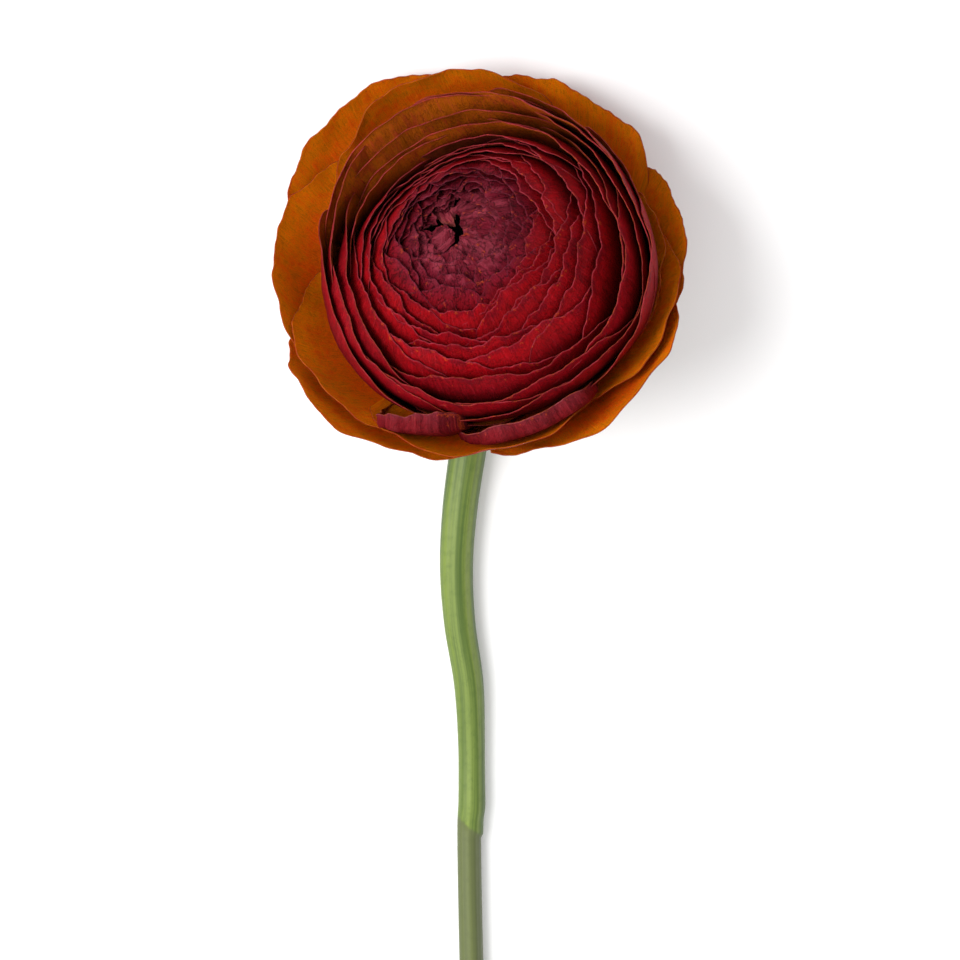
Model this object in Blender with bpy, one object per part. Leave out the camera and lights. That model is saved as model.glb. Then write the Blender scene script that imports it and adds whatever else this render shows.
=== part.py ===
"""A cut Persian buttercup (Ranunculus asiaticus) lying on its back on a flat surface.

The bloom is a spiral of cupped petals around a central column. Every petal is a patch of one
nested family of bowl-shaped shells, so a petal further out in the spiral always lies outside the
petals before it. The stem bends at its neck and lies along -Y on the surface, which is Z = 0.

Lengths are in millimetres and angles in degrees until mesh_object() turns them into metres.
"""

import math

import bmesh
import bpy
from mathutils import Matrix, Vector

MM = 0.001

# How the bloom lies: its centre above the surface, and the way that its axis leans.
BLOOM_CENTRE = Vector((1.2, 58.6, 24.2))
BLOOM_TILT = 39.4
LEAN_AZIMUTH = 115.0
FLOOR_DROP = 25.0  # from the bloom's centre down to the middle of the lowest sepal's wall
FLOOR_PACK = 11.0  # how much higher each inner shell is pressed, for one whole level
FLOOR_BLEND = 2.2  # how gradually the pressed part joins the free part of a shell

# The shells: distance from the bloom's centre at each polar angle from the axis.
POLAR_KEYS = (0, 30, 60, 90, 120, 150, 180)
SHELLS = (
    (0.00, (17.8, 18.6, 19.3, 19.0, 17.3, 13.5, 9.0)),
    (0.52, (23.0, 24.0, 25.0, 25.2, 22.6, 18.8, 15.0)),
    (0.80, (28.0, 29.0, 30.3, 29.8, 26.4, 22.3, 18.5)),
    (0.87, (39.5, 39.5, 38.8, 35.4, 28.2, 22.9, 19.1)),
    (1.00, (42.5, 42.5, 41.8, 38.2, 30.6, 24.4, 20.6)),
    (1.10, (43.6, 43.6, 42.9, 39.3, 31.8, 25.6, 21.8)),
)

# The petals, in the order of the spiral from the inside out.
PETAL_CLAW = (3.1, 1.3)  # its distance from the axis and its half width
PETAL_WIDEST = 0.8  # where along its length a petal reaches its full width
CLAW_TAPER = 1.15
GOLDEN_ANGLE = 137.5
BALL_PETALS = 22
CUP_PETALS = 13
BALL_LEVELS = (0.02, 0.50)
BALL_HALF_WIDTH = 48.0
CUP_LEVELS = (0.53, 0.79)
CUP_HALF_WIDTH = 50.0
RIM_POLAR = 40.0  # where the innermost petals of the ball end
RIM_OPENING = 22.0  # how much lower those of the cup end
RIM_SLUMP = 40.0  # and how much lower still on the side that the bloom leans away from
UNEVEN = (5.0, 2.5, 4.0)  # how much azimuth, rim and half width stray from petal to petal
ROW_CROWDING = 0.8  # below 1, the rows of a petal's surface are closer together near its rim
PETAL_WALL = (0.16, 0.20)  # thickness at the claw and at the rim
RIM_DROP = 36.0  # the rim is part of an ellipse: its height down the shell
RIM_ROUND = 0.92  # and how much of its width the petal has

# The outermost petals, from the inside out: azimuth, polar angle of the rim, half width.
OUTER_LEVELS = (0.83, 1.00)
OUTER_PETALS = (
    (12, 98, 38),
    (112, 70, 38),
    (207, 88, 40),
    (350, 98, 40),
    (172, 80, 40),
    (76, 86, 38),
    (268, 86, 40),
    (22, 98, 40),
    (134, 76, 42),
    (224, 88, 40),
    (317, 94, 42),
)

# The green parts behind the bloom.
SEPALS = 5
SEPAL_FIRST_AZIMUTH = LEAN_AZIMUTH + 36.0
SEPAL_LEVEL = 1.07
SEPAL_CLAW = (5.0, 2.4)  # its distance from the axis and its half width
SEPAL_RIM_POLAR = 131.0
SEPAL_HALF_WIDTH = 15.0
SEPAL_WALL = (0.45, 0.35)

# The heart: the tight bud of small petals round the carpels.
HEART_GAP = 0.65  # inside the innermost shell
HEART_POLARS = range(14, 155, 14)
HEART_BORE = 3.3
HEART_DIMPLE = 0.6  # how far the bore's wall starts below the bud's upper edge
HEART_SIDES = 24
CARPEL_RADIUS = 2.1
CARPEL_BOTTOM = 8.4
CARPEL_HEIGHT = 4.6
CARPEL_SIDES = 12
CARPEL_STEPS = 6

# The column that the petals stand on, which the stem carries: (along the axis, radius).
COLUMN = ((8.0, 1.7), (5.0, 2.4), (-4.0, 2.6), (-14.0, 2.7), (-20.2, 2.7))
RECEPTACLE = ((-22.9, 4.4), (-24.6, 4.0))

# The stem below the receptacle: (x, y from the bloom's centre, radius), lying on the surface.
STEM_COURSE = (
    (-3.2, -37.5, 3.25),
    (-4.6, -48.0, 3.10),
    (-5.2, -58.5, 2.95),
    (-4.6, -69.0, 2.80),
    (-3.0, -80.0, 2.65),
    (-2.5, -91.0, 2.40),
    (-2.5, -102.0, 2.50),
    (-2.9, -108.0, 2.15),
    (-2.6, -128.0, 2.15),
    (-2.0, -150.0, 2.20),
)

# The neck, which curves from the receptacle into the stem.
NECK_REACH = 2.8
NECK_LEAD = Vector((1.5, 11.0, 0.0))
NECK_RADIUS = 3.3
NECK_STEPS = 7
STEM_SIDES = 12
STEM_STEP = 4.0


def smooth_between(keys, values, at):
    """A curve through the points (keys, values), read at one place between them."""
    last = len(keys) - 2
    i = min(max(sum(k <= at for k in keys) - 1, 0), last)
    share = (at - keys[i]) / (keys[i + 1] - keys[i])
    before, after = values[max(i - 1, 0)], values[min(i + 2, last + 1)]
    start, end = values[i], values[i + 1]
    rise_in, rise_out = (end - before) / 2, (after - start) / 2
    return (
        start
        + rise_in * share
        + (3 * (end - start) - 2 * rise_in - rise_out) * share**2
        + (2 * (start - end) + rise_in + rise_out) * share**3
    )


def bloom_turn():
    """Turns a direction of the bloom, whose axis is +Z, into one of the lying flower."""
    lean = math.radians(LEAN_AZIMUTH)
    hinge = Vector((-math.sin(lean), math.cos(lean), 0))
    return Matrix.Rotation(math.radians(BLOOM_TILT), 3, hinge)


BLOOM = bloom_turn()


def shell_radius(level, direction):
    """How far a shell is from the bloom's centre, pressed flat where it meets the surface."""
    polar = math.degrees(math.acos(max(-1.0, min(1.0, direction.z))))
    radii = [smooth_between(POLAR_KEYS, shell[1], polar) for shell in SHELLS]
    levels = [shell[0] for shell in SHELLS]
    i = min(max(sum(key <= level for key in levels) - 1, 0), len(levels) - 2)
    share = (level - levels[i]) / (levels[i + 1] - levels[i])
    radius = radii[i] + (radii[i + 1] - radii[i]) * share
    down = -(BLOOM @ direction).z
    if down < 0.3:
        return radius
    floor = (FLOOR_DROP - FLOOR_PACK * (SHELLS[-1][0] - level)) / down
    return -FLOOR_BLEND * math.log(math.exp(-radius / FLOOR_BLEND) + math.exp(-floor / FLOOR_BLEND))


def petal_direction(azimuth, polar, aside):
    """A direction on a petal: down its middle line by polar, then sideways by aside."""
    turn, down, side = (math.radians(angle) for angle in (azimuth, polar, aside))
    outward = Vector((math.cos(turn), math.sin(turn), 0))
    middle = outward * math.sin(down) + Vector((0, 0, math.cos(down)))
    across = Vector((-math.sin(turn), math.cos(turn), 0))
    return middle * math.cos(side) + across * math.sin(side)


def petal_grid(level, azimuth, rim_polar, half_width, columns, rows, claw_shape=PETAL_CLAW):
    """Rows of (direction, radius) from the claw, which meets the column, to the rim of a petal."""
    base = shell_radius(level, Vector((0, 0, -1)))
    claw, claw_aside = (math.degrees(math.asin(size / base)) for size in claw_shape)
    claw = 180.0 - claw
    grid = []
    for row in range(rows + 1):
        along = (row / rows) ** ROW_CROWDING
        widening = math.sin(math.pi / 2 * min(1.0, along / PETAL_WIDEST)) ** CLAW_TAPER
        spread = claw_aside + (half_width - claw_aside) * widening
        line = []
        for column in range(columns + 1):
            across = 2 * column / columns - 1
            rim = rim_polar + RIM_DROP * (1 - math.sqrt(1 - (RIM_ROUND * across) ** 2))
            direction = petal_direction(azimuth, claw + (rim - claw) * along, across * spread)
            line.append((direction, shell_radius(level, direction)))
        grid.append(line)
    return grid


def thick_sheet(grid, walls):
    """A closed sheet round a grid: its outer face, its inner face and the edge between them."""
    mesh = bmesh.new()
    rows, columns = len(grid), len(grid[0])
    faces = []
    for side in (1, -1):
        face = []
        for row, line in enumerate(grid):
            wall = walls[0] + (walls[1] - walls[0]) * row / (rows - 1)
            half = side * wall / 2
            face.append([mesh.verts.new(direction * (radius + half)) for direction, radius in line])
        faces.append(face)
    outer, inner = faces
    for r in range(rows - 1):
        for c in range(columns - 1):
            for face in faces:
                mesh.faces.new((face[r][c], face[r][c + 1], face[r + 1][c + 1], face[r + 1][c]))
    edge = [(0, c) for c in range(columns)]
    edge += [(r, columns - 1) for r in range(1, rows)]
    edge += [(rows - 1, c) for c in range(columns - 2, -1, -1)]
    edge += [(r, 0) for r in range(rows - 2, 0, -1)]
    for (r, c), (s, d) in zip(edge, edge[1:] + edge[:1]):
        mesh.faces.new((outer[r][c], outer[s][d], inner[s][d], inner[r][c]))
    return mesh


def turned_solid(outline, sides):
    """A closed outline of (radius, height) points turned once round +Z."""
    mesh = bmesh.new()
    rings = []
    for step in range(sides):
        turn = Matrix.Rotation(2 * math.pi * step / sides, 3, "Z")
        rings.append([mesh.verts.new(turn @ Vector((r, 0, z))) for r, z in outline])
    for here, there in zip(rings, rings[1:] + rings[:1]):
        for i in range(len(outline)):
            j = (i + 1) % len(outline)
            if outline[i][0] or outline[j][0]:
                mesh.faces.new((here[i], there[i], there[j], here[j]))
    bmesh.ops.remove_doubles(mesh, verts=mesh.verts[:], dist=1e-4)
    return mesh


def tube(points, radii, sides):
    """A tube of changing radius along a course, with flat ends."""
    mesh = bmesh.new()
    rings = []
    up = Vector((1, 0, 0))
    for i, (point, radius) in enumerate(zip(points, radii)):
        ahead = (points[min(i + 1, len(points) - 1)] - points[max(i - 1, 0)]).normalized()
        up = (up - ahead * up.dot(ahead)).normalized()
        side = ahead.cross(up)
        rings.append([
            mesh.verts.new(point + (up * math.cos(turn) + side * math.sin(turn)) * radius)
            for turn in (2 * math.pi * n / sides for n in range(sides))
        ])
    for here, there in zip(rings, rings[1:]):
        for n in range(sides):
            m = (n + 1) % sides
            mesh.faces.new((here[n], here[m], there[m], there[n]))
    mesh.faces.new(rings[0])
    mesh.faces.new(rings[-1])
    return mesh


def material(name, colour, roughness):
    """A plain matt or satin finish."""
    made = bpy.data.materials.new(name)
    made.use_nodes = True
    shader = made.node_tree.nodes["Principled BSDF"]
    shader.inputs["Base Color"].default_value = (*colour, 1.0)
    shader.inputs["Roughness"].default_value = roughness
    shader.inputs["Metallic"].default_value = 0.0
    made.diffuse_color = (*colour, 1.0)
    return made


def mesh_object(name, mesh, finish, parent):
    """One named sub-part from a mesh in millimetres, with its faces pointing out."""
    bmesh.ops.recalc_face_normals(mesh, faces=mesh.faces[:])
    bmesh.ops.scale(mesh, vec=(MM, MM, MM), verts=mesh.verts[:])
    data = bpy.data.meshes.new(name)
    mesh.to_mesh(data)
    mesh.free()
    data.shade_smooth()
    data.set_sharp_from_angle(angle=math.radians(45))
    data.materials.append(finish)
    made = bpy.data.objects.new(name, data)
    made.parent = parent
    bpy.context.scene.collection.objects.link(made)
    return made


def rim_polar_of(level, azimuth):
    """Where a petal of the ball or the cup ends."""
    near = (1 - math.cos(math.radians(azimuth - LEAN_AZIMUTH))) / 2
    opened = level / CUP_LEVELS[1]
    return RIM_POLAR + RIM_OPENING * opened + RIM_SLUMP * opened * near**1.3


def spiral_petals():
    """(name, level, azimuth, rim, half width) of the petals of the ball and of the cup."""
    zones = (
        ("ball_petal", BALL_PETALS, BALL_LEVELS, BALL_HALF_WIDTH),
        ("cup_petal", CUP_PETALS, CUP_LEVELS, CUP_HALF_WIDTH),
    )
    turn = 0
    for name, count, (first, last), half_width in zones:
        for i in range(count):
            level = first + (last - first) * i / (count - 1)
            azimuth = (GOLDEN_ANGLE * turn + UNEVEN[0] * math.sin(5.2 * turn)) % 360
            rim = rim_polar_of(level, azimuth) + UNEVEN[1] * math.sin(3.7 * turn)
            width = half_width + UNEVEN[2] * math.sin(2.3 * turn)
            turn += 1
            yield f"{name}_{i + 1:02d}", level, azimuth, rim, width


def make_petals(bloom, red, orange):
    for name, level, azimuth, rim, half_width in spiral_petals():
        grid = petal_grid(level, azimuth, rim, half_width, columns=7, rows=7)
        mesh_object(name, thick_sheet(grid, PETAL_WALL), red, bloom)
    for i, (azimuth, rim, half_width) in enumerate(OUTER_PETALS):
        level = OUTER_LEVELS[0] + (OUTER_LEVELS[1] - OUTER_LEVELS[0]) * i / (len(OUTER_PETALS) - 1)
        grid = petal_grid(level, azimuth, rim, half_width, columns=8, rows=7)
        mesh_object(f"outer_petal_{i + 1:02d}", thick_sheet(grid, PETAL_WALL), orange, bloom)


def make_sepals(bloom, green):
    for i in range(SEPALS):
        azimuth = SEPAL_FIRST_AZIMUTH + 360 / SEPALS * i
        grid = petal_grid(
            SEPAL_LEVEL, azimuth, SEPAL_RIM_POLAR, SEPAL_HALF_WIDTH, 4, 5, SEPAL_CLAW
        )
        mesh_object(f"sepal_{i + 1}", thick_sheet(grid, SEPAL_WALL), green, bloom)


def make_heart(bloom, purple, brown):
    """The bud of small petals as one open-ended bead, and the carpels in its bore."""
    outline = []
    for polar in HEART_POLARS:
        direction = petal_direction(LEAN_AZIMUTH, polar, 0)
        radius = shell_radius(0.0, direction) - HEART_GAP
        outline.append((radius * math.sin(math.radians(polar)), radius * direction.z))
    outline.append((HEART_BORE, outline[-1][1]))
    outline.append((HEART_BORE, outline[0][1] - HEART_DIMPLE))
    mesh_object("heart_bud", turned_solid(outline, HEART_SIDES), purple, bloom)
    outline = [(0, CARPEL_BOTTOM)]
    for step in range(CARPEL_STEPS):
        turn = math.pi / 2 * step / CARPEL_STEPS
        height = CARPEL_HEIGHT * math.sin(turn)
        outline.append((CARPEL_RADIUS * math.cos(turn) ** 0.7, CARPEL_BOTTOM + height))
    outline.append((0, CARPEL_BOTTOM + CARPEL_HEIGHT))
    mesh_object("carpel_cone", turned_solid(outline, CARPEL_SIDES), brown, bloom)


def stem_line():
    """(points, radii) from the top of the column, through the neck, to the cut end."""
    axis = BLOOM @ Vector((0, 0, 1))
    points = [axis * z for z, _ in COLUMN + RECEPTACLE]
    radii = [radius for _, radius in COLUMN + RECEPTACLE]
    course = [Vector((x, y, radius - BLOOM_CENTRE.z)) for x, y, radius in STEM_COURSE]
    handles = (points[-1], points[-1] - axis * NECK_REACH, course[0] + NECK_LEAD, course[0])
    for step in range(1, NECK_STEPS):
        t = step / NECK_STEPS
        weights = ((1 - t) ** 3, 3 * t * (1 - t) ** 2, 3 * t * t * (1 - t), t**3)
        points.append(sum((h * w for h, w in zip(handles, weights)), Vector()))
        radii.append(NECK_RADIUS)
    lengths = [-point.y for point in course]
    count = round((lengths[-1] - lengths[0]) / STEM_STEP)
    for step in range(count + 1):
        at = lengths[0] + (lengths[-1] - lengths[0]) * step / count
        sides = [smooth_between(lengths, [point[k] for point in course], at) for k in range(3)]
        points.append(Vector(sides))
        radii.append(smooth_between(lengths, [radius for _, _, radius in STEM_COURSE], at))
    return points, radii


def main():
    for old in list(bpy.data.objects):
        bpy.data.objects.remove(old)
    bloom = bpy.data.objects.new("bloom_frame", None)
    bpy.context.scene.collection.objects.link(bloom)
    bloom.location = BLOOM_CENTRE * MM
    bloom.rotation_euler = BLOOM.to_euler()
    flower = bpy.data.objects.new("flower_frame", None)
    bpy.context.scene.collection.objects.link(flower)
    flower.location = BLOOM_CENTRE * MM

    red = material("ball_petal_red", (0.42, 0.01, 0.02), 0.5)
    orange = material("outer_petal_orange", (0.60, 0.16, 0.01), 0.5)
    purple = material("heart_mauve", (0.22, 0.04, 0.07), 0.6)
    brown = material("carpel_brown", (0.06, 0.02, 0.02), 0.7)
    green = material("stem_green", (0.16, 0.28, 0.05), 0.45)

    make_petals(bloom, red, orange)
    make_sepals(bloom, green)
    make_heart(bloom, purple, brown)
    points, radii = stem_line()
    mesh_object("stem", tube(points, radii, STEM_SIDES), green, flower)
    bpy.context.view_layer.update()


main()
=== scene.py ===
"""A cut Persian buttercup lying face up: tightly nested crimson petals, an open orange ring and a
bare green stem. Every petal is a thin closed sheet, laid on the same nested shells as its CAD
solid but with a wavy lip, a ragged rim and fine veins.

Lengths are in millimetres and angles in degrees until mesh_piece() turns them into metres.
"""

import math

import bpy
import numpy as np
from mathutils import Matrix, Vector


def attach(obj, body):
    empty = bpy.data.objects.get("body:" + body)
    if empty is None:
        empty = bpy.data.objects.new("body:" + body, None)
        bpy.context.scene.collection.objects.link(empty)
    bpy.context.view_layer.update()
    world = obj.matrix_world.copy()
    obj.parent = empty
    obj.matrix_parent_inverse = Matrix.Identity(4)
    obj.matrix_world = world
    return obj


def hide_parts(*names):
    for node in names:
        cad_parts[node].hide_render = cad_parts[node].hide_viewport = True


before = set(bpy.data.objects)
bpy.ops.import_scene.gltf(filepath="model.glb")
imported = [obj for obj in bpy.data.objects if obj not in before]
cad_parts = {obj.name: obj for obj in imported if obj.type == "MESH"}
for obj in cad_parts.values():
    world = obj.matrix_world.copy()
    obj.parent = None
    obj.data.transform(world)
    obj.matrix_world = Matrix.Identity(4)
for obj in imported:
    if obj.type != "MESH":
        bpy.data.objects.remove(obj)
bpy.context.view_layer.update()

MM = 0.001

# How the bloom lies, and the shells that the petals are laid on: the same numbers as the CAD's.
BLOOM_CENTRE = np.array((1.2, 58.6, 24.2))
BLOOM_TILT = 39.4
LEAN_AZIMUTH = 115.0
FLOOR_DROP = 25.0
FLOOR_PACK = 11.0
FLOOR_BLEND = 2.2
POLAR_KEYS = (0, 30, 60, 90, 120, 150, 180)
SHELLS = (  # a shell's level, then its radius at each of POLAR_KEYS
    (-0.60, (13.6, 14.4, 15.2, 15.2, 14.0, 11.0, 7.2)),
    (0.00, (17.8, 18.6, 19.3, 19.0, 17.3, 13.5, 9.0)),
    (0.52, (23.0, 24.0, 25.0, 25.2, 22.6, 18.8, 15.0)),
    (0.80, (28.0, 29.0, 30.3, 29.8, 26.4, 22.3, 18.5)),
    (0.87, (39.5, 39.5, 38.8, 35.4, 28.2, 22.9, 19.1)),
    (1.00, (42.5, 42.5, 41.8, 38.2, 30.6, 24.4, 20.6)),
    (1.10, (43.6, 43.6, 42.9, 39.3, 31.8, 25.6, 21.8)),
)
PETAL_CLAW = (3.1, 1.3)  # how far from the bloom's axis, and half its width
PETAL_WIDEST = 0.8  # of the way from the claw to the rim
CLAW_TAPER = 1.15
GOLDEN_ANGLE = 137.5
BALL_PETALS = 22
CUP_PETALS = 13
BALL_LEVELS = (0.02, 0.50)
BALL_HALF_WIDTH = 48.0
CUP_LEVELS = (0.53, 0.79)
CUP_HALF_WIDTH = 50.0
RIM_POLAR = 40.0
RIM_OPENING = 22.0
RIM_DROP = 36.0
RIM_ROUND = 0.92
UNEVEN = (5.0, 2.5, 4.0)  # in a petal's azimuth, rim and half width
UNEVEN_RATES = (5.2, 3.7, 2.3)
OUTER_LEVELS = (0.83, 1.00)
OUTER_PETALS = (  # azimuth, rim polar, half width
    (12, 98, 38),
    (112, 70, 38),
    (207, 88, 40),
    (350, 98, 40),
    (172, 80, 40),
    (76, 86, 38),
    (268, 86, 40),
    (22, 98, 40),
    (134, 76, 42),
    (224, 88, 40),
    (317, 94, 42),
)
SEPALS = 5
SEPAL_FIRST_AZIMUTH = LEAN_AZIMUTH + 36.0
SEPAL_LEVEL = 1.07
SEPAL_CLAW = (5.0, 2.4)
SEPAL_RIM_POLAR = 131.0
SEPAL_HALF_WIDTH = 15.0
# Height on the bloom's axis, and radius.
COLUMN = ((8.0, 1.7), (5.0, 2.4), (-4.0, 2.6), (-14.0, 2.7), (-20.2, 2.7))
RECEPTACLE = ((-22.9, 4.4), (-24.6, 4.0))
STEM_COURSE = (  # across and along from the bloom's centre, and radius
    (-3.2, -37.5, 3.25),
    (-4.6, -48.0, 3.10),
    (-5.2, -58.5, 2.95),
    (-4.6, -69.0, 2.80),
    (-3.0, -80.0, 2.65),
    (-2.5, -91.0, 2.40),
    (-2.5, -102.0, 2.30),
    (-2.9, -108.0, 2.15),
    (-2.6, -128.0, 2.15),
    (-2.0, -150.0, 2.20),
)
NECK_REACH = 2.8
NECK_LEAD = np.array((1.5, 11.0, 0.0))
NECK_RADIUS = 3.3
NECK_STEPS = 24
STEM_STEPS = 190
STEM_SIDES = 64
STEM_RIB = 0.03  # of the radius
STEM_RIBS = ((5, 1.1, 1.0), (11, 1.0, 0.4))  # how many round the stem, phase, share of STEM_RIB
STEM_CUT = ((1.0, 0.0), (0.86, 0.0), (0.55, 0.25), (0.12, 0.5))  # share of the radius, how far sunk
SCAR_PLACE = -106.6  # the old node across the stem, along from the bloom's centre
SCAR_SLANT = 1.9  # how far its edge runs along the stem, to each side
SCAR_STEP = 0.22
SCAR_EDGE = 0.45  # half the length that the step rises over
SCAR_FADE = 14  # how far up the stem the swelling dies away
CARPEL_RADIUS = 2.1
CARPEL_BOTTOM = 8.4
CARPEL_HEIGHT = 4.6
CARPELS = 70
CARPEL_SIDES = 8
CARPEL_RINGS = ((0.30, -0.5), (0.36, 0.0), (0.26, 0.25))  # a knob's radius, and how far out
CARPEL_HOOK = (0.08, 0.45)
CARPEL_HOOK_UNEVEN = 0.15
CARPEL_INSET = 0.86  # of the cone's radius, where the knobs have their centres
CARPEL_SPAN = 0.9  # of the cone's height
CARPEL_LIFT = 0.3

# What the soft petals add to the CAD's: the cup leans open on the far side and in on the left, a
# dark gap parts it on the right, its petals are wider and slump less on the near side, and the outer
# ring is drawn in at its foot and cut shorter in places.
FLARE_AZIMUTH = 122.0
FLARE_SPREAD = 46.0
FLARE_DEPTH = 5.0
FLARE_SPAN = 17.0
FLARE_FROM = 0.34  # the innermost shell that leans open
FLARE_REACH = 1.6
LEAN_IN_AZIMUTH = 198.0
LEAN_IN_SPREAD = 32.0
LEAN_IN_DEPTH = 2.6
GAP_AZIMUTH = -12.0
GAP_SPREAD = 24.0
GAP_WIDTH = 1.9
GAP_LEVEL = 0.60  # the shell from which it is fully open
GAP_EDGE = 0.03
FOOT_AZIMUTH = 272.0
FOOT_SPREAD = 30.0
FOOT_DEPTH = 1.9
SOFT_WIDTH = 1.2  # of a petal's width in the CAD
SOFT_SLUMP = 28.0  # how much lower the cup's near side ends than its far side
OUTER_TRIMS = ((6.0, 272, 34), (2.5, 62, 20), (2.0, 170, 12))  # how much shorter, azimuth, spread

# The heart: small petals further in on the same spiral, round a slit of an eye.
HEART_PETALS = 58
HEART_LEVELS = (-0.50, 0.0)
EYE_PLACE = (-11.0, 6.0)  # across and up from the bloom's axis, in degrees
EYE_RIM = 13.0
EYE_LEVELS = (-0.57, -0.50)
EYE_PETALS = (  # azimuth, tip across and up, half width, drop
    (290, -1.0, -6.5, 5.0, 14),
    (58, -6.5, 14.5, 9.0, 14),
    (172, -22.5, 12.5, 8.0, 12),
    (255, -14.5, 7.2, 7.0, 9),
    (112, -15.0, 19.5, 10.0, 12),
    (212, -6.3, 0.0, 8.5, 9),
    (20, -1.6, 4.0, 12.0, 8),
)
CURL_LEVEL = -0.60
CURL_PLACE = (-10.0, 10.8)
CURL_AZIMUTH = 128.0
CURL_HALF_WIDTH = 7.5
DUSK_POLARS = (52.0, 24.0)  # the red turns mauve between these
HEART_RIM = 38.0
HEART_RIM_UNEVEN = 2.4
HEART_AZIMUTH_UNEVEN = 9
HEART_HALF_WIDTH = 13.0
HEART_WIDENING = 20.0
HEART_WIDTH_UNEVEN = (-3, 4)

# Each kind of petal draws its own waves, from its own run of seeds.
SPIRAL_SEED = 100
BETWEEN_SEED = 200
OUTER_SEED = 300
ROLLED_SEED = 400
HEART_SEED = 500
CURL_SEED = 599
SEPAL_SEED = 700
HEART_PLACE_SEED = 41
CARPEL_SEED = 9

ROW_CROWDING = 1.6  # rows of a petal's mesh crowd towards its rim
CLAW_MARGIN = 4.0  # added to the distance from a petal's side at its claw, where no edge shows

# The camera looks down on the flower, leaning a little towards the bloom's end.
VIEW_LEAN = 12.0
VIEW_DISTANCE = 1200.0
VIEW_WIDTH = 168.0
VIEW_CENTRE = (-0.875, -37.1)  # across and up from the bloom's centre

# The studio, in metres and watts.
FLOOR_REACH = 4.0
LIGHT_AIM = (0, 0.03, 0.02)
WORLD_STRENGTH = 0.85
LIGHTS = (  # name, place, size, power
    ("key", (-0.85, 0.18, 1.10), 1.0, 21.0),
    ("fill", (-0.1, -0.9, 1.30), 1.3, 3.0),
)


def turn_about(axis, degrees):
    return np.array(Matrix.Rotation(math.radians(degrees), 3, Vector(axis)))


LEAN = math.radians(LEAN_AZIMUTH)
BLOOM = turn_about((-math.sin(LEAN), math.cos(LEAN), 0), BLOOM_TILT)


def smooth_between(keys, values, at):
    """A curve through the points (keys, values), read at each place of an array."""
    keys, values, at = np.asarray(keys, float), np.asarray(values, float), np.asarray(at, float)
    i = np.clip(np.searchsorted(keys, at, side="right") - 1, 0, len(keys) - 2)
    share = (at - keys[i]) / (keys[i + 1] - keys[i])
    before, after = values[np.maximum(i - 1, 0)], values[np.minimum(i + 2, len(keys) - 1)]
    start, end = values[i], values[i + 1]
    rise_in, rise_out = (end - before) / 2, (after - start) / 2
    return (
        start
        + rise_in * share
        + (3 * (end - start) - 2 * rise_in - rise_out) * share**2
        + (2 * (start - end) + rise_in + rise_out) * share**3
    )


def smooth_step(low, high, at):
    share = np.clip((at - low) / (high - low), 0, 1)
    return share * share * (3 - 2 * share)


def polar_of(directions):
    return np.degrees(np.arccos(np.clip(directions[..., 2], -1, 1)))


def shell_radius(level, directions):
    """How far a shell is from the bloom's centre, pressed flat where it meets the surface."""
    polar = polar_of(directions)
    levels = [shell[0] for shell in SHELLS]
    i = min(max(sum(key <= level for key in levels) - 1, 0), len(levels) - 2)
    share = (level - levels[i]) / (levels[i + 1] - levels[i])
    radius = (1 - share) * smooth_between(POLAR_KEYS, SHELLS[i][1], polar)
    radius += share * smooth_between(POLAR_KEYS, SHELLS[i + 1][1], polar)
    down = -(directions @ BLOOM.T)[..., 2]
    floor = (FLOOR_DROP - FLOOR_PACK * (SHELLS[-1][0] - level)) / np.maximum(down, 0.3)
    pressed = -FLOOR_BLEND * np.log(np.exp(-radius / FLOOR_BLEND) + np.exp(-floor / FLOOR_BLEND))
    return np.where(down < 0.3, radius, pressed)


def petal_directions(azimuth, polar, aside):
    """Directions on a petal: down its middle line by polar, then sideways by aside."""
    turn, down, side = math.radians(azimuth), np.radians(polar), np.radians(aside)
    middle = np.stack(
        [np.sin(down) * math.cos(turn), np.sin(down) * math.sin(turn), np.cos(down)], -1
    )
    across = np.array((-math.sin(turn), math.cos(turn), 0.0))
    return middle * np.cos(side)[..., None] + across * np.sin(side)[..., None]


def waves(draw, at, parts):
    """A sum of sine waves with random phases: parts are (height, waves from edge to edge)."""
    total = np.zeros_like(at)
    for height, count in parts:
        stretch = draw.uniform(0.8, 1.25)
        total += height * np.sin(math.pi * at * count * stretch + draw.uniform(0, 2 * math.pi))
    return total


def mesh_piece(name, points, faces, finish, attributes=None, turn=None):
    """A named piece from points in millimetres, moved from the bloom's centre to its place."""
    data = bpy.data.meshes.new(name)
    placed = points @ (BLOOM if turn is None else turn).T + BLOOM_CENTRE
    data.from_pydata((placed * MM).tolist(), [], faces)
    for key, values in (attributes or {}).items():
        values = np.asarray(values, np.float32)
        kind = "FLOAT_VECTOR" if values.ndim == 2 else "FLOAT"
        stored = data.attributes.new(key, kind, "POINT")
        stored.data.foreach_set("vector" if values.ndim == 2 else "value", values.ravel())
    data.validate()
    data.shade_smooth()
    data.materials.append(finish)
    piece = bpy.data.objects.new(name, data)
    bpy.context.scene.collection.objects.link(piece)
    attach(piece, "root")
    return piece


def grid_faces(rows, columns, start=0, flip=False):
    faces = []
    for r in range(rows - 1):
        for c in range(columns - 1):
            a = start + r * columns + c
            face = (a, a + 1, a + 1 + columns, a + columns)
            faces.append(face[::-1] if flip else face)
    return faces


def edge_faces(rows, columns, inner_start):
    """The narrow faces round the edge of a sheet, from its outer face to its inner one."""
    edge = [c for c in range(columns)]
    edge += [r * columns + columns - 1 for r in range(1, rows)]
    edge += [(rows - 1) * columns + c for c in range(columns - 2, -1, -1)]
    edge += [r * columns for r in range(rows - 2, 0, -1)]
    return [
        (b, a, inner_start + a, inner_start + b) for a, b in zip(edge, edge[1:] + edge[:1])
    ]


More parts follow.
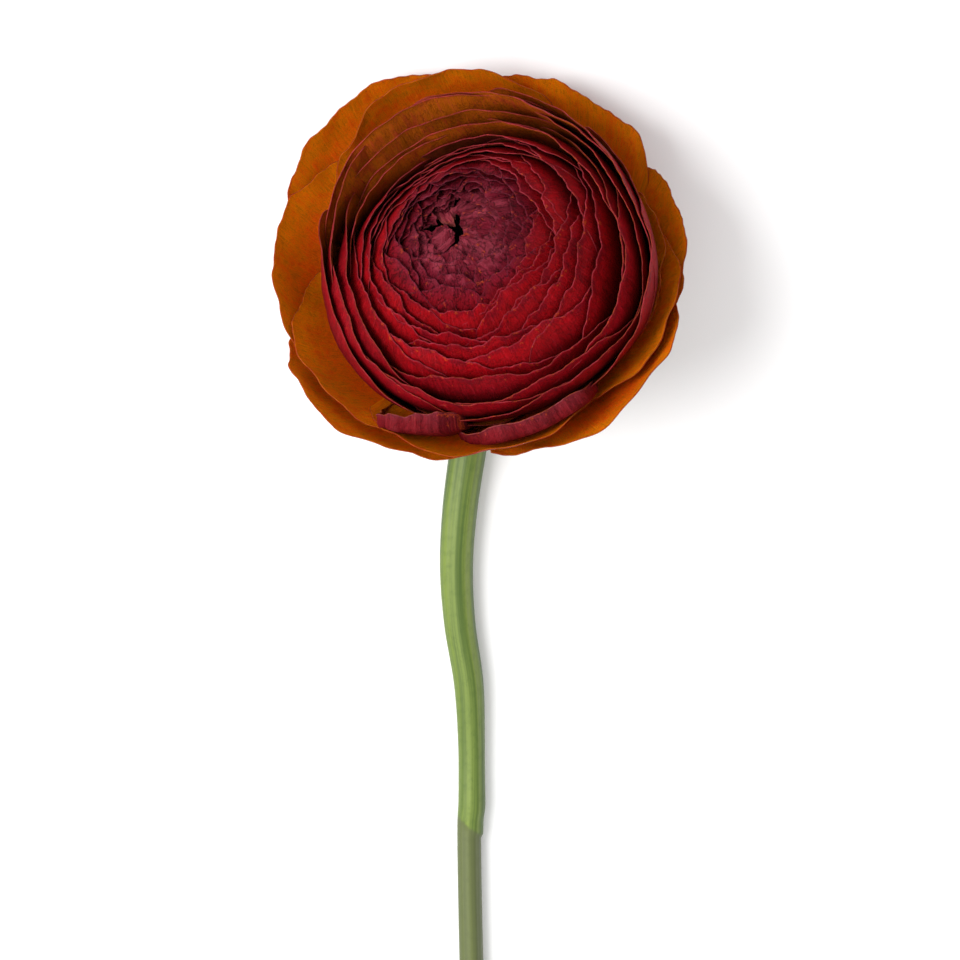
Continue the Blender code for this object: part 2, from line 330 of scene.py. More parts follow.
def far_side(azimuth):
    """1 on the side the bloom leans to, 0 on the opposite side."""
    return (1 + np.cos(np.radians(azimuth - LEAN_AZIMUTH))) / 2


def beside(azimuth, centre, spread):
    """1 at the centre azimuth, fading away on both sides of it."""
    off = (azimuth - centre + 180) % 360 - 180
    return np.exp(-((off / spread) ** 2))


def opened_radius(level, directions, rim):
    """The ball's and the cup's shells: drawn in on the far side so that the cup's petals there lean
    open, with their lips leaning in on the left, and parted by a gap on the right."""
    radius = shell_radius(level, directions)
    polar = polar_of(directions)
    azimuth = np.degrees(np.arctan2(directions[..., 1], directions[..., 0]))
    flare = smooth_step(FLARE_SPAN, 0, polar - rim)
    share = FLARE_REACH * max((level - FLARE_FROM) / (CUP_LEVELS[1] - FLARE_FROM), 0)
    drawn_in = FLARE_DEPTH * min(max(level, 0) / CUP_LEVELS[1], 1) ** 0.6
    radius = radius - drawn_in * beside(azimuth, FLARE_AZIMUTH, FLARE_SPREAD) * (1 - share * flare)
    lean_in = LEAN_IN_DEPTH * min(max(level, 0) / CUP_LEVELS[1], 1)
    radius = radius - lean_in * beside(azimuth, LEAN_IN_AZIMUTH, LEAN_IN_SPREAD) * flare
    parted = GAP_WIDTH * smooth_step(GAP_LEVEL - GAP_EDGE, GAP_LEVEL, level)
    return radius + parted * beside(azimuth, GAP_AZIMUTH, GAP_SPREAD) * np.sin(np.radians(polar)) ** 2


def petal_piece(name, finish, seed, level, azimuth, rim_at, half_width, habit, aim=(0.0, 0.0)):
    """One petal. rim_at gives the polar angle of its rim at any azimuth, habit says how the petal
    departs from its shell and how fine its sheet is, and aim moves its tip aside, in degrees."""
    draw = np.random.default_rng(seed)
    columns, rows = habit["cells"]
    reach = habit["reach"]
    u = np.linspace(-1, 1, columns + 1)[None, :]
    v = 1 - (1 - np.linspace(0, 1, rows + 1)[:, None]) ** ROW_CROWDING
    base = shell_radius(level, np.array([0.0, 0.0, -1.0]))
    claw, claw_aside = (math.degrees(math.asin(size / base)) for size in habit["claw"])
    claw = 180.0 - claw
    corner = 1 - np.sqrt(1 - (habit["round"] * u) ** 2)
    rim = rim_at(azimuth + u * half_width) + habit["drop"] * corner
    rim = rim + habit["tilt"] * draw.uniform(-1, 1) * u
    rim = rim + np.degrees(waves(draw, u, habit["ragged"]) / reach)
    polar = claw + (rim - claw) * v
    widening = np.sin(math.pi / 2 * np.minimum(1.0, v / PETAL_WIDEST)) ** CLAW_TAPER
    if habit["wrapped"]:
        turn = np.radians(azimuth + u * half_width * widening)
        down = np.radians(polar)
        directions = np.stack(
            [np.sin(down) * np.cos(turn), np.sin(down) * np.sin(turn), np.cos(down)], -1
        )
        middle = opened_radius(level, directions, rim)
    else:
        spread = claw_aside + (half_width - claw_aside) * widening
        directions = petal_directions(azimuth, polar, u * spread)
        directions = directions + np.array((*np.radians(aim), 0.0)) * (v**2)[..., None]
        directions = directions / np.linalg.norm(directions, axis=-1, keepdims=True)
        middle = shell_radius(level, directions)
        if level > CUP_LEVELS[1]:
            middle = middle - FOOT_DEPTH * beside(azimuth, FOOT_AZIMUTH, FOOT_SPREAD) * v
    from_rim = np.radians(polar - rim) * reach
    at_lip = smooth_step(habit["lip_depth"], 0, from_rim)
    lift = waves(draw, u + 0 * v, habit["sway"]) * v**2
    lift = lift + waves(draw, u + 0 * v, habit["flutter"]) * at_lip
    lift = lift + habit["lip"] * (0.95 + habit["lip_vary"] * draw.uniform(-1, 1)) * at_lip**1.5
    lift = lift + habit["twist"] * draw.uniform(-1, 1) * u * v + habit["swing"] * u * v**3
    for slope in habit["folds"]:
        lift = lift + waves(draw, u + slope * v, habit["crumple"]) * v**2
    middle = middle + lift
    wall = habit["wall"]
    outer = (directions * (middle + wall / 2)[..., None]).reshape(-1, 3)
    inner = (directions * (middle - wall / 2)[..., None]).reshape(-1, 3)
    count = len(outer)
    faces = grid_faces(rows + 1, columns + 1)
    faces += grid_faces(rows + 1, columns + 1, count, flip=True)
    faces += edge_faces(rows + 1, columns + 1, count)
    across = (np.radians(u * half_width) * reach + 0 * v).ravel()
    from_side = (1 - np.abs(u)) * np.radians(half_width) * reach + CLAW_MARGIN * (1 - v)
    from_edge = np.minimum(from_rim, from_side)
    lay = np.stack([across, from_edge.ravel(), 0 * across], -1)
    lay = np.concatenate([lay, lay + (0, 0, 1)])
    tone = np.full(2 * count, draw.uniform(0, 1))
    dusk = smooth_step(*DUSK_POLARS, polar_of(directions)).ravel()
    return mesh_piece(
        name, np.concatenate([outer, inner]), faces, finish,
        {"lay": lay, "tone": tone, "dusk": np.concatenate([dusk, dusk])},
    )


# Finishes


class Value:
    """A socket whose value can change over a surface. Arithmetic on it adds Math nodes."""

    def __init__(self, finish, socket):
        self.finish = finish
        self.socket = socket

    def _math(self, operation, first, second):
        return self.finish.node("ShaderNodeMath", {"operation": operation}, {0: first, 1: second})

    def __add__(self, other):
        return self._math("ADD", self, other)

    def __sub__(self, other):
        return self._math("SUBTRACT", self, other)

    def __rsub__(self, other):
        return self._math("SUBTRACT", other, self)

    def __mul__(self, other):
        return self._math("MULTIPLY", self, other)

    __radd__ = __add__
    __rmul__ = __mul__


class Finish:
    """A material under construction."""

    def __init__(self, name, **constants):
        self.material = bpy.data.materials.new(name)
        self.material.use_nodes = True
        self.tree = self.material.node_tree
        self.shader = self.tree.nodes["Principled BSDF"]
        for socket, value in constants.items():
            self.shader.inputs[socket.replace("_", " ")].default_value = value

    def node(self, kind, settings=None, sockets=None, out=0):
        made = self.tree.nodes.new(kind)
        for key, value in (settings or {}).items():
            if key == "stops":
                ramp = made.color_ramp.elements
                while len(ramp) < len(value):
                    ramp.new(1.0)
                for stop, (place, colour) in zip(ramp, value):
                    stop.position = place
                    stop.color = (*colour, 1.0)
            else:
                setattr(made, key, value)
        for key, value in (sockets or {}).items():
            self.feed(made.inputs[key], value)
        return Value(self, made.outputs[out])

    def feed(self, socket, value):
        if isinstance(value, Value):
            self.tree.links.new(value.socket, socket)
        elif isinstance(value, tuple) and len(value) == 3 and socket.type == "RGBA":
            socket.default_value = (*value, 1.0)
        else:
            socket.default_value = value

    def set(self, **sockets):
        for key, value in sockets.items():
            self.feed(self.shader.inputs[key.replace("_", " ")], value)
        return self.material

    def mix(self, first, second, share, way="MIX"):
        settings = {"data_type": "RGBA", "blend_type": way, "clamp_factor": True}
        return self.node("ShaderNodeMix", settings, {0: share, 6: first, 7: second}, 2)

    def ease(self, value, low, high):
        """0 at low and 1 at high, rising smoothly between them; low may be the larger."""
        settings = {"interpolation_type": "SMOOTHSTEP"}
        return self.node("ShaderNodeMapRange", settings, {0: value, 1: low, 2: high})

    def attribute(self, name, out):
        return self.node("ShaderNodeAttribute", {"attribute_name": name}, out=out)

    def parts(self, vector):
        return [self.node("ShaderNodeSeparateXYZ", sockets={0: vector}, out=i) for i in range(3)]

    def noise(self, x, y, z, detail=2.0, roughness=0.5):
        place = self.node("ShaderNodeCombineXYZ", sockets={0: x, 1: y, 2: z})
        sockets = {"Vector": place, "Scale": 1.0, "Detail": detail, "Roughness": roughness}
        return self.node("ShaderNodeTexNoise", sockets=sockets)

    def bump(self, height, strength, depth):
        sockets = {"Height": height, "Strength": strength, "Distance": depth * MM}
        return self.node("ShaderNodeBump", sockets=sockets)


def linear(red, green, blue):
    """A colour given as on a display, as the shader wants it."""
    return tuple(
        c / 12.92 if c <= 0.04045 else ((c + 0.055) / 1.055) ** 2.4
        for c in (red / 255, green / 255, blue / 255)
    )


MAUVE = linear(112, 20, 38)
MAUVE_RED = linear(114, 6, 26)
DUSTY_SHEEN = linear(148, 56, 70)
BLEMISH = linear(196, 76, 28)


def petal_finish(
    name, back, back_deep, back_rim, front, front_deep, front_rim,
    line=0.7, dust_and_sheen=0.0, glints_and_flecks=0.4, relief=0.24, crease_shade_and_depth=0.3,
):
    """A petal: back is the outer face, front the inner one, deep towards the claw, rim the lip. line
    is how strongly the thin edge line shows, dust_and_sheen how far the rim's pale colour spreads
    below it, partly as pale bloom and partly as a painted sheen, and glints_and_flecks how much of it
    flecks the skin: painted highlights where the rim's colour is paler than the skin. relief is the
    skin's depth in millimetres, and crease_shade_and_depth is how much shade is painted into its
    fine creases and how deep they are in the relief."""
    finish = Finish(name, Specular_IOR_Level=0.08)
    across, from_rim, side = finish.parts(finish.attribute("lay", "Vector"))
    tone = finish.attribute("tone", "Fac")
    dusk = finish.attribute("dusk", "Fac")
    veins = finish.noise(across * 3.6, from_rim * 0.16, tone * 40.0, detail=5.0, roughness=0.75)
    clouds = finish.noise(across * 0.34, from_rim * 0.30, tone * 90.0, detail=4.0, roughness=0.65)
    grain = finish.noise(across * 6.0, from_rim * 4.0, tone * 70.0, detail=4.0, roughness=0.8)
    flecks = finish.noise(across * 1.0, from_rim * 0.8, tone * 55.0 + 7.0, detail=5.0, roughness=0.7)
    folds = finish.noise(across * 0.8, from_rim * 0.5, tone * 20.0 + 3.0, detail=3.0, roughness=0.6)
    folded = folds - 0.5
    creases = finish.ease(folded * folded, 0.0007, 0.0)
    streaks = finish.ease(veins, 0.34, 0.66)
    patches = finish.ease(clouds, 0.32, 0.66)
    depth = finish.ease(from_rim + clouds * 3.0, 2.5, 9.0)
    outside = finish.mix(back, back_deep, depth)
    outside = finish.mix(outside, MAUVE, finish.ease(dusk + clouds * 0.7, 0.35, 1.15))
    # A pale dusty mauve in patches towards the heart: partly the petals' own colour, partly a painted
    # sheen.
    outside = finish.mix(outside, DUSTY_SHEEN, finish.ease(dusk + patches * 0.5, 0.9, 1.5) * 0.7)
    outside = finish.mix(outside, MAUVE_RED, finish.ease(from_rim + patches * 2.2, 3.0, 0.6) * 0.6)
    # The rim's pale colour spread a little way below the lip: partly the skin's pale bloom, partly a
    # painted sheen.
    outside = finish.mix(outside, back_rim, finish.ease(from_rim + patches, 2.4, 0.2) * dust_and_sheen)
    inside = finish.mix(front, front_deep, finish.ease(from_rim + clouds * 6.0, 4.0, 15.0))
    redness = finish.ease(veins * 0.6 + clouds * 0.6, 0.54, 0.74) * 0.6
    inside = finish.mix(inside, front_rim, redness)
    lip = finish.ease(from_rim + veins * 0.2, 0.34, 0.08) * (patches * 0.8 + 0.4) * line
    outside = finish.mix(outside, back_rim, lip)
    inside = finish.mix(inside, back_rim, lip)
    colour = finish.mix(outside, inside, side)
    shade = 0.42 + streaks * 0.34 + patches * 0.32
    shade = shade + finish.ease(grain, 0.35, 0.68) * 0.30 + tone * 0.14
    # Painted shade: the skin is darkened along its fine creases.
    shade = shade * (1 - creases * crease_shade_and_depth)
    value = finish.node("ShaderNodeCombineXYZ", sockets={0: shade, 1: shade, 2: shade})
    colour = finish.mix(colour, value, 1.0, "MULTIPLY")
    # Flecks of the rim's colour where grain and veins run high: painted highlights where that colour
    # is paler than the skin, coloured flecks where it is darker.
    colour = finish.mix(colour, back_rim, finish.ease(grain * 0.6 + veins * 0.4, 0.53, 0.64) * glints_and_flecks)
    edge_wear = finish.ease(from_rim, 1.8, 0.1) * 0.08
    blemish = finish.ease(flecks + edge_wear, 0.655, 0.70) * finish.ease(grain, 0.38, 0.58)
    colour = finish.mix(colour, BLEMISH, blemish * 0.75)
    height = streaks * 0.5 + grain * 0.9 + clouds * 1.2 - creases * crease_shade_and_depth * 1.5
    return finish.set(
        Base_Color=colour,
        Roughness=0.40 + streaks * 0.1 + grain * 0.2,
        Normal=finish.bump(height, 0.8, relief),
    )


BALL_PETAL = petal_finish(
    "ball_petal_skin",
    back=linear(148, 2, 12),
    back_deep=linear(102, 0, 6),
    back_rim=linear(158, 50, 64),
    front=linear(110, 48, 8),
    front_deep=linear(80, 20, 8),
    front_rim=linear(128, 30, 40),
)
CUP_PETAL = petal_finish(
    "cup_petal_skin",
    back=linear(142, 3, 16),
    back_deep=linear(96, 0, 8),
    back_rim=linear(150, 46, 62),
    front=linear(186, 92, 7),
    front_deep=linear(132, 44, 7),
    front_rim=linear(138, 18, 26),
    line=0.6,
)
ROLLED_PETAL = petal_finish(
    "rolled_petal_skin",
    back=linear(112, 18, 26),
    back_deep=linear(104, 4, 12),
    back_rim=linear(134, 58, 68),
    front=linear(214, 104, 5),
    front_deep=linear(170, 60, 5),
    front_rim=linear(140, 34, 38),
    dust_and_sheen=0.35,
)
# The ring's inner faces are the petals' own orange made brighter: a painted glow of light shining
# through the thin petals.
OUTER_PETAL = petal_finish(
    "outer_petal_skin",
    back=linear(168, 46, 22),
    back_deep=linear(138, 34, 16),
    back_rim=linear(120, 26, 20),
    front=linear(255, 140, 2),
    front_deep=linear(252, 106, 3),
    front_rim=linear(206, 56, 5),
    line=0.6,
    glints_and_flecks=0.12,
    crease_shade_and_depth=0.12,
)
HEART_PETAL = petal_finish(
    "heart_petal_skin",
    back=linear(128, 4, 18),
    back_deep=linear(96, 2, 14),
    back_rim=linear(112, 42, 60),
    front=linear(80, 32, 26),
    front_deep=linear(60, 20, 18),
    front_rim=linear(110, 42, 54),
    line=0.55,
    dust_and_sheen=0.12,
    relief=0.42,
    crease_shade_and_depth=0.6,
)
CURL_PETAL = petal_finish(
    "curl_petal_skin",
    back=linear(150, 58, 54),
    back_deep=linear(120, 36, 34),
    back_rim=linear(164, 92, 80),
    front=linear(80, 34, 30),
    front_deep=linear(60, 24, 20),
    front_rim=linear(130, 76, 64),
    dust_and_sheen=0.4,
)


def green_finish(name, light, dark, dull, cut):
    """The stem's skin: a smooth rib down its length, fine pale lines, and duller below the node."""
    finish = Finish(name, Specular_IOR_Level=0.4)
    around, down, side = finish.parts(finish.attribute("lay", "Vector"))
    lines = finish.noise(around * 3.0, down * 0.03, 0.0, detail=3.0, roughness=0.6)
    ribs = finish.noise(around * 0.55, down * 0.012, 3.0, detail=1.0)
    mottle = finish.noise(around * 0.8, down * 0.5, 5.0, detail=6.0, roughness=0.7)
    colour = finish.mix(dark, light, finish.ease(ribs * 0.75 + lines * 0.25, 0.36, 0.64))
    colour = finish.mix(colour, dark, finish.ease(mottle, 0.45, 0.75) * 0.45)
    below = finish.ease(down - around * 0.8 + mottle, -SCAR_PLACE, 1 - SCAR_PLACE)
    colour = finish.mix(colour, dull, below * 0.75)
    colour = finish.mix(colour, cut, side)
    return finish.set(
        Base_Color=colour,
        Roughness=0.34 + mottle * 0.24,
        Normal=finish.bump(lines * 0.6 + ribs * 0.6 + mottle * 0.3, 0.5, 0.12),
    )


STEM_SKIN = green_finish(
    "stem_skin",
    light=linear(112, 130, 50),
    dark=linear(60, 84, 22),
    dull=linear(80, 84, 50),
    cut=linear(170, 176, 120),
)
SEPAL_SKIN = green_finish(
    "sepal_skin",
    light=linear(140, 148, 70),
    dark=linear(84, 100, 36),
    dull=linear(110, 104, 52),
    cut=linear(120, 128, 60),
)


def carpel_finish():
    finish = Finish("carpel_skin", Roughness=0.8, Specular_IOR_Level=0.05)
    place = finish.node("ShaderNodeTexCoord", out="Object")
    sockets = {"Vector": place, "Scale": 900.0, "Detail": 3.0}
    knobs = finish.node("ShaderNodeTexNoise", sockets=sockets)
    colour = finish.mix(linear(8, 3, 4), linear(34, 14, 14), finish.ease(knobs, 0.4, 0.7))
    return finish.set(Base_Color=colour, Normal=finish.bump(knobs, 0.6, 0.2))


CARPEL_SKIN = carpel_finish()

# Petals

# A habit is how a kind of petal is made. cells are counted across it and down it, reach is its
# shell's usual radius, wall its thickness, and wrapped says whether it follows the opened shells.
# Its outline: drop is how many degrees its corners would end below its middle if they were fully
# round, round how round they are, tilt how aslant the rim may be, and ragged the waves in the rim.
# Its relief, away from the shell: sway and flutter are waves over the whole petal and at its lip, lip
# how far the lip leans out (or in, below zero) over lip_depth, and lip_vary how much that differs
# between petals. twist and swing move its two sides opposite ways, and crumple is the waves that run
# aslant, one set for each slope in folds.
BALL_HABIT = {
    "cells": (90, 24), "reach": 22.0, "wall": 0.16, "claw": PETAL_CLAW, "wrapped": True,
    "drop": 32.0, "round": 0.98, "tilt": 12.0,
    "ragged": ((0.50, 2.2), (0.32, 5.0), (0.16, 11.0), (0.09, 25.0)),
    "sway": ((0.06, 0.9), (0.04, 2.1)),
    "flutter": ((0.08, 3.5), (0.05, 9.0)),
    "lip": 0.34, "lip_depth": 1.5, "lip_vary": 0.45, "twist": 0.08,
    "swing": 0.0, "folds": (), "crumple": (),
}
CUP_HABIT = {
    **BALL_HABIT,
    "cells": (110, 26), "reach": 29.0, "drop": 34.0, "tilt": 9.0,
    "ragged": ((0.8, 1.9), (0.45, 4.4), (0.20, 10.0), (0.10, 26.0)),
    "sway": ((0.09, 1.1), (0.06, 2.6)),
    "flutter": ((0.14, 3.4), (0.07, 9.0)),
    "lip": 0.34, "lip_depth": 2.4, "twist": 0.12,
}
ROLLED_HABIT = {
    **CUP_HABIT, "lip": -2.6, "lip_depth": 3.8, "lip_vary": 0.0, "tilt": 0.0, "drop": 26.0,
}
ROLLED_PETALS = (  # azimuth, level, rim polar and its slope, half width, swing
    (286, 0.846, 89, -0.1, 30, -0.6),
    (246, 0.850, 86, -0.5, 19, -3.7),
)
OUTER_HABIT = {
    **BALL_HABIT,
    "cells": (120, 36), "reach": 37.0, "wall": 0.2, "wrapped": False, "drop": RIM_DROP,
    "round": RIM_ROUND, "tilt": 0.0,
    "ragged": ((0.7, 1.4), (0.40, 3.6), (0.22, 8.0), (0.12, 21.0)),
    "sway": ((0.5, 1.2), (0.25, 2.4)),
    "flutter": ((0.30, 2.8), (0.18, 6.5)),
    "lip": 0.2, "lip_depth": 6.0, "twist": 0.25,
}
HEART_HABIT = {
    **BALL_HABIT,
    "cells": (36, 26), "reach": 17.0, "wall": 0.12, "claw": (2.9, 0.7), "wrapped": False,
    "drop": 26.0, "round": 0.96, "tilt": 9.0,
    "ragged": ((0.36, 1.5), (0.20, 3.5), (0.10, 8.0)),
    "sway": ((0.22, 1.2), (0.14, 2.6)),
    "flutter": ((0.20, 2.6), (0.10, 5.5)),
    "lip": 0.24, "lip_depth": 1.1, "twist": 0.4,
    "folds": (1.6, -2.1), "crumple": ((0.09, 5.0), (0.05, 9.0)),
}
EYE_HABIT = {**HEART_HABIT, "tilt": 0.0, "ragged": ((0.14, 1.5), (0.10, 3.5), (0.06, 8.0))}
CURL_HABIT = {
    **HEART_HABIT, "drop": 16.0, "round": 0.98, "lip": -0.8, "lip_depth": 1.3, "tilt": 0.0,
}
SEPAL_HABIT = {
    **BALL_HABIT,
    "cells": (18, 22), "reach": 25.0, "wall": 0.35, "claw": SEPAL_CLAW, "wrapped": False,
    "drop": RIM_DROP, "round": RIM_ROUND, "tilt": 0.0,
    "ragged": ((0.2, 2.0),), "sway": ((0.1, 1.0),), "flutter": ((0.1, 3.0),),
    "lip": 0.1, "lip_depth": 3.0, "twist": 0.1,
}


def spiral_rim(level, uneven):
    """Where a petal of the ball or the cup ends: its rim's polar angle at any azimuth."""
    opened = level / CUP_LEVELS[1]

    def rim_at(azimuth):
        near = 1 - far_side(azimuth)
        return RIM_POLAR + RIM_OPENING * opened + SOFT_SLUMP * opened * near**1.3 + uneven

    return rim_at


def spiral_petals():
    """The ball's and the cup's petals, each a golden angle on from the last. Every second one has
    another petal opposite it, on the same shell."""
    zones = (
        ("ball_petal", BALL_PETALS, BALL_LEVELS, BALL_HALF_WIDTH, BALL_PETAL, BALL_HABIT),
        ("cup_petal", CUP_PETALS, CUP_LEVELS, CUP_HALF_WIDTH, CUP_PETAL, CUP_HABIT),
    )
    turn = 0
    between = 0
    for name, count, (first, last), half_width, finish, habit in zones:
        for i in range(count):
            level = first + (last - first) * i / (count - 1)
            azimuth = (GOLDEN_ANGLE * turn + UNEVEN[0] * math.sin(UNEVEN_RATES[0] * turn)) % 360
            uneven = UNEVEN[1] * math.sin(UNEVEN_RATES[1] * turn)
            width = SOFT_WIDTH * (half_width + UNEVEN[2] * math.sin(UNEVEN_RATES[2] * turn))
            turn += 1
            node = f"{name}_{i + 1:02d}"
            piece = petal_piece(
                f"soft_{node}", finish, SPIRAL_SEED + turn, level, azimuth,
                spiral_rim(level, uneven), width, habit,
            )
            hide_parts(node)
            if i % 2 == 0 or i > count - 2:
                continue
            between += 1
            piece = petal_piece(
                f"between_petal_{between:02d}", finish, BETWEEN_SEED + turn, level, azimuth + 180,
                spiral_rim(level, -uneven), width, habit,
            )


def rolled_petals():
    """Petals at the foot of the ring that roll in over the ball and show their outer faces."""
    for i, (azimuth, level, rim, slope, half_width, swing) in enumerate(ROLLED_PETALS):
        piece = petal_piece(
            f"rolled_petal_{i + 1}", ROLLED_PETAL, ROLLED_SEED + i, level, azimuth,
            lambda at: rim + slope * (at - azimuth),
            half_width, {**ROLLED_HABIT, "swing": swing},
        )


def outer_petals():
    first, last = OUTER_LEVELS
    for i, (azimuth, rim, half_width) in enumerate(OUTER_PETALS):
        level = first + (last - first) * i / (len(OUTER_PETALS) - 1)
        node = f"outer_petal_{i + 1:02d}"
        piece = petal_piece(
            f"soft_{node}", OUTER_PETAL, OUTER_SEED + i, level, azimuth,
            lambda at: rim + sum(cut * beside(at, *place) for cut, *place in OUTER_TRIMS),
            half_width, OUTER_HABIT,
        )
        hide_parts(node)


def heart_petals():
    """The small petals of the middle: first the ones round the eye, then the rest outwards."""
    draw = np.random.default_rng(HEART_PLACE_SEED)
    in_eye = len(EYE_PETALS)
    for i in range(HEART_PETALS):
        if i < in_eye:
            azimuth, *aim, half_width, drop = EYE_PETALS[i]
            level = EYE_LEVELS[0] + (EYE_LEVELS[1] - EYE_LEVELS[0]) * i / in_eye
            rim = 0.0
            habit = {**EYE_HABIT, "drop": drop}
        else:
            share = (i - in_eye) / (HEART_PETALS - 1 - in_eye)
            level = HEART_LEVELS[0] + (HEART_LEVELS[1] - HEART_LEVELS[0]) * share
            azimuth = -GOLDEN_ANGLE * (HEART_PETALS - i)
            azimuth += draw.uniform(-HEART_AZIMUTH_UNEVEN, HEART_AZIMUTH_UNEVEN)
            rim = EYE_RIM + (HEART_RIM - EYE_RIM) * share**0.8
            rim += draw.uniform(-HEART_RIM_UNEVEN, HEART_RIM_UNEVEN)
            half_width = HEART_HALF_WIDTH + HEART_WIDENING * share + draw.uniform(*HEART_WIDTH_UNEVEN)
            aim = [place * (1 - share) for place in EYE_PLACE]
            habit = HEART_HABIT
        piece = petal_piece(
            f"heart_petal_{i + 1:02d}", HEART_PETAL, HEART_SEED + i, level, azimuth,
            lambda at: rim, half_width, habit, aim,
        )
        if i == 0:
            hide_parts("heart_bud")
    curl = petal_piece(
        "eye_curl", CURL_PETAL, CURL_SEED, CURL_LEVEL, CURL_AZIMUTH,
        lambda at: 0.0, CURL_HALF_WIDTH, CURL_HABIT, CURL_PLACE,
    )


def stem_rings(points, radii):
    """The stem's outer rings and what its skin reads: across, down, and 0 for skin or 1 for a cut."""
    points = np.asarray(points, float)
    ahead = np.gradient(points, axis=0)
    ahead /= np.linalg.norm(ahead, axis=1)[:, None]
    up = np.array((1.0, 0.0, 0.0))
    turns = np.linspace(0, 2 * math.pi, STEM_SIDES, endpoint=False)
    ribs = 1
    for count, phase, share in STEM_RIBS:
        ribs = ribs + STEM_RIB * share * np.sin(count * turns + phase)
    rings, lay = [], []
    for point, forward, radius in zip(points, ahead, radii):
        up = up - forward * (up @ forward)
        up /= np.linalg.norm(up)
        side = np.cross(forward, up)
        around = np.cos(turns)[:, None] * up + np.sin(turns)[:, None] * side
        ring = point + around * (radius * ribs)[:, None]
        slant = SCAR_PLACE - SCAR_SLANT * (ring[:, 0] - point[0]) / radius
        above = smooth_step(slant - SCAR_EDGE, slant + SCAR_EDGE, point[1])
        above = above * smooth_step(slant + SCAR_FADE, slant, point[1])
        swollen = above * (1.0 + 0.8 * (ring[:, 0] - point[0]) / radius)
        rings.append(ring + around * (SCAR_STEP * swollen)[:, None])
        lay.append(np.stack([radius * np.cos(turns), 0 * turns - point[1], 0 * turns], -1))
    return rings, lay


def stem():
    axis = BLOOM @ np.array((0, 0, 1.0))
    points = [axis * z for z, _ in COLUMN + RECEPTACLE]
    radii = [radius for _, radius in COLUMN + RECEPTACLE]
    course = np.array([(x, y, radius - BLOOM_CENTRE[2]) for x, y, radius in STEM_COURSE])
    start, end = points[-1], course[0]
    foot_radius = radii[-1]
    handles = (start, start - axis * NECK_REACH, end + NECK_LEAD, end)
    for step in range(1, NECK_STEPS):
        t = step / NECK_STEPS
        weights = ((1 - t) ** 3, 3 * t * (1 - t) ** 2, 3 * t * t * (1 - t), t**3)
        points.append(sum(h * w for h, w in zip(handles, weights)))
        narrowed = foot_radius + (NECK_RADIUS - foot_radius) * min(1, 4 * t)
        radii.append(narrowed + (STEM_COURSE[0][2] - NECK_RADIUS) * t)
    lengths = -course[:, 1]
    at = np.linspace(lengths[0], lengths[-1], STEM_STEPS)
    points += list(np.stack([smooth_between(lengths, course[:, k], at) for k in range(3)], -1))
    radii += list(smooth_between(lengths, [radius for _, _, radius in STEM_COURSE], at))
    rings, lay = stem_rings(points, radii)
    end_ring, end_point = rings[-1], points[-1]
    skin_rings = len(rings)
    for share, sunk in STEM_CUT:
        rings.append(end_point + (end_ring - end_point) * share + np.array((0, sunk, 0)))
        lay.append(lay[-1] * (share, 1, 0) + (0, 0, 1))
    faces = [tuple(range(STEM_SIDES))[::-1]]
    for r in range(len(rings) - 1):
        if r == skin_rings - 1:
            continue  # the cut face's first ring lies on the skin's last one
        for n in range(STEM_SIDES):
            m = (n + 1) % STEM_SIDES
            a, b = r * STEM_SIDES, (r + 1) * STEM_SIDES
            faces.append((a + n, a + m, b + m, b + n))
    last = (len(rings) - 1) * STEM_SIDES
    faces.append(tuple(range(last, last + STEM_SIDES)))
    piece = mesh_piece(
        "soft_stem", np.concatenate(rings), faces, STEM_SKIN,
        {"lay": np.concatenate(lay)}, turn=np.eye(3),
    )
    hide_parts("stem")


def sepals():
    for i in range(SEPALS):
        azimuth = SEPAL_FIRST_AZIMUTH + 360 / SEPALS * i
        piece = petal_piece(
            f"soft_sepal_{i + 1}", SEPAL_SKIN, SEPAL_SEED + i, SEPAL_LEVEL, azimuth,
            lambda at: SEPAL_RIM_POLAR, SEPAL_HALF_WIDTH, SEPAL_HABIT,
        )
        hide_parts(f"sepal_{i + 1}")


def carpels():
    """The cone of carpels, each a small knob with a hooked tip."""
    draw = np.random.default_rng(CARPEL_SEED)
    points, faces = [], []
    for i in range(CARPELS):
        height = (i + 0.5) / CARPELS
        turn = math.radians(GOLDEN_ANGLE * i)
        radius = CARPEL_RADIUS * CARPEL_INSET * math.cos(math.pi / 2 * height) ** 0.7
        up = CARPEL_BOTTOM + CARPEL_HEIGHT * height * CARPEL_SPAN + CARPEL_LIFT
        centre = np.array((radius * math.cos(turn), radius * math.sin(turn), up))
        out = np.array((math.cos(turn), math.sin(turn), 0.8 + height))
        out /= np.linalg.norm(out)
        side = np.cross(out, (0, 0, 1.0))
        side /= np.linalg.norm(side)
        other = np.cross(out, side)
        start = len(points)
        hook = (CARPEL_HOOK[0], CARPEL_HOOK[1] + draw.uniform(0, CARPEL_HOOK_UNEVEN))
        for size, reach in (*CARPEL_RINGS, hook):
            for n in range(CARPEL_SIDES):
                a = 2 * math.pi * n / CARPEL_SIDES
                around = side * math.cos(a) + other * math.sin(a)
                points.append(centre + out * reach + around * size)
        for ring in range(len(CARPEL_RINGS)):
            low = start + ring * CARPEL_SIDES
            high = low + CARPEL_SIDES
            for n in range(CARPEL_SIDES):
                m = (n + 1) % CARPEL_SIDES
                faces.append((low + n, low + m, high + m, high + n))
        faces.append(tuple(start + n for n in range(CARPEL_SIDES))[::-1])
        faces.append(tuple(high + n for n in range(CARPEL_SIDES)))
    piece = mesh_piece("soft_carpel_cone", np.array(points), faces, CARPEL_SKIN)
    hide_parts("carpel_cone")


# Surroundings


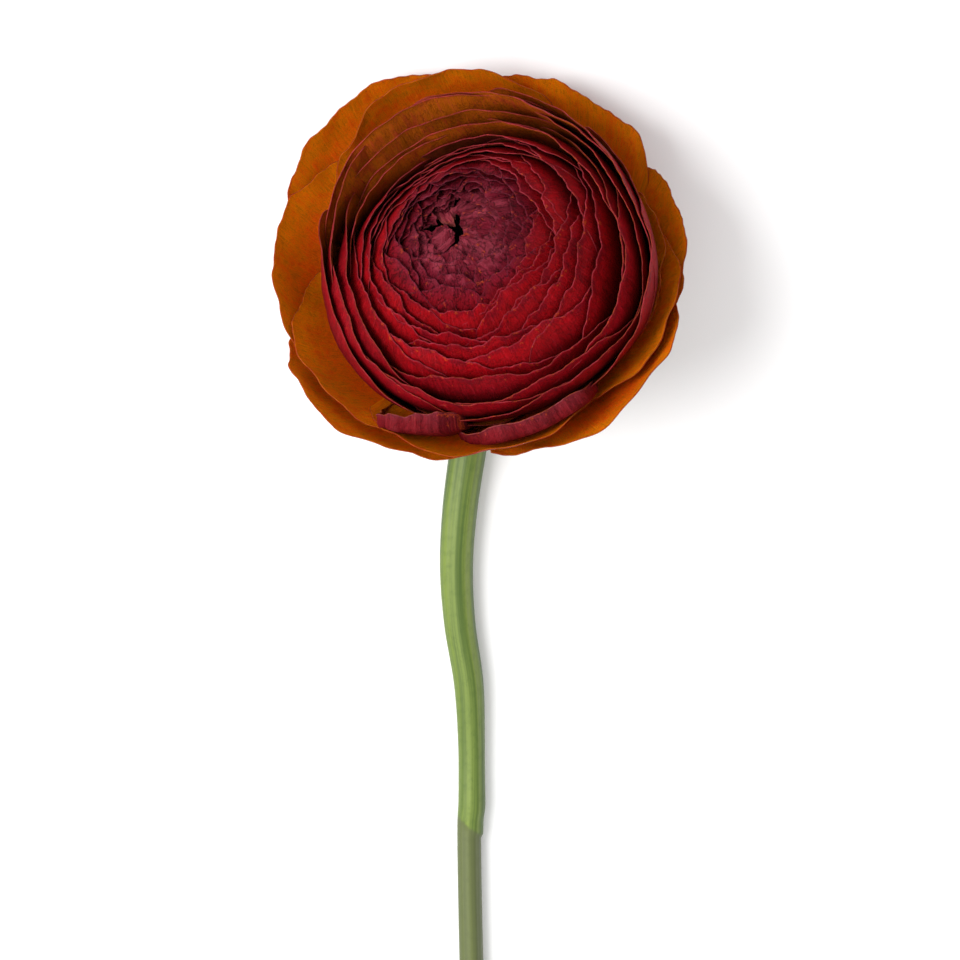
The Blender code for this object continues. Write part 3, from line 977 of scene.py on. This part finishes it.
def floor():
    finish = Finish("pale_floor", Roughness=0.9, Specular_IOR_Level=0.1)
    place = finish.node("ShaderNodeTexCoord", out="Object")
    cloud = finish.node("ShaderNodeTexNoise", sockets={"Vector": place, "Scale": 3.0, "Detail": 2.0})
    colour = finish.mix((0.90, 0.90, 0.90), (0.93, 0.93, 0.93), cloud)
    data = bpy.data.meshes.new("floor")
    corners = [(x * FLOOR_REACH, y * FLOOR_REACH, 0) for x, y in ((-1, -1), (1, -1), (1, 1), (-1, 1))]
    data.from_pydata(corners, [], [(0, 1, 2, 3)])
    data.materials.append(finish.set(Base_Color=colour))
    made = bpy.data.objects.new("floor", data)
    bpy.context.scene.collection.objects.link(made)


def area_light(name, place, size, power):
    data = bpy.data.lights.new(name, "AREA")
    data.shape = "DISK"
    data.size = size
    data.energy = power
    made = bpy.data.objects.new(name, data)
    made.location = place
    aim = Vector(LIGHT_AIM) - Vector(place)
    made.rotation_euler = aim.to_track_quat("-Z", "Y").to_euler()
    bpy.context.scene.collection.objects.link(made)


def studio():
    world = bpy.data.worlds.new("studio")
    bpy.context.scene.world = world
    world.use_nodes = True
    background = world.node_tree.nodes["Background"]
    background.inputs["Color"].default_value = (1.0, 1.0, 1.0, 1.0)
    background.inputs["Strength"].default_value = WORLD_STRENGTH
    for light in LIGHTS:
        area_light(*light)
    bpy.context.scene.view_settings.view_transform = "Standard"


def camera():
    data = bpy.data.cameras.new("camera")
    made = bpy.data.objects.new("camera", data)
    look = turn_about((1, 0, 0), -VIEW_LEAN)
    place = BLOOM_CENTRE + look @ np.array((*VIEW_CENTRE, VIEW_DISTANCE))
    made.matrix_world = Matrix.Translation(Vector(place * MM)) @ Matrix(look.tolist()).to_4x4()
    data.lens = data.sensor_width * VIEW_DISTANCE / VIEW_WIDTH
    data.clip_end = 20.0
    bpy.context.scene.collection.objects.link(made)
    bpy.context.scene.camera = made


spiral_petals()
rolled_petals()
outer_petals()
heart_petals()
stem()
sepals()
carpels()
floor()
studio()
camera()
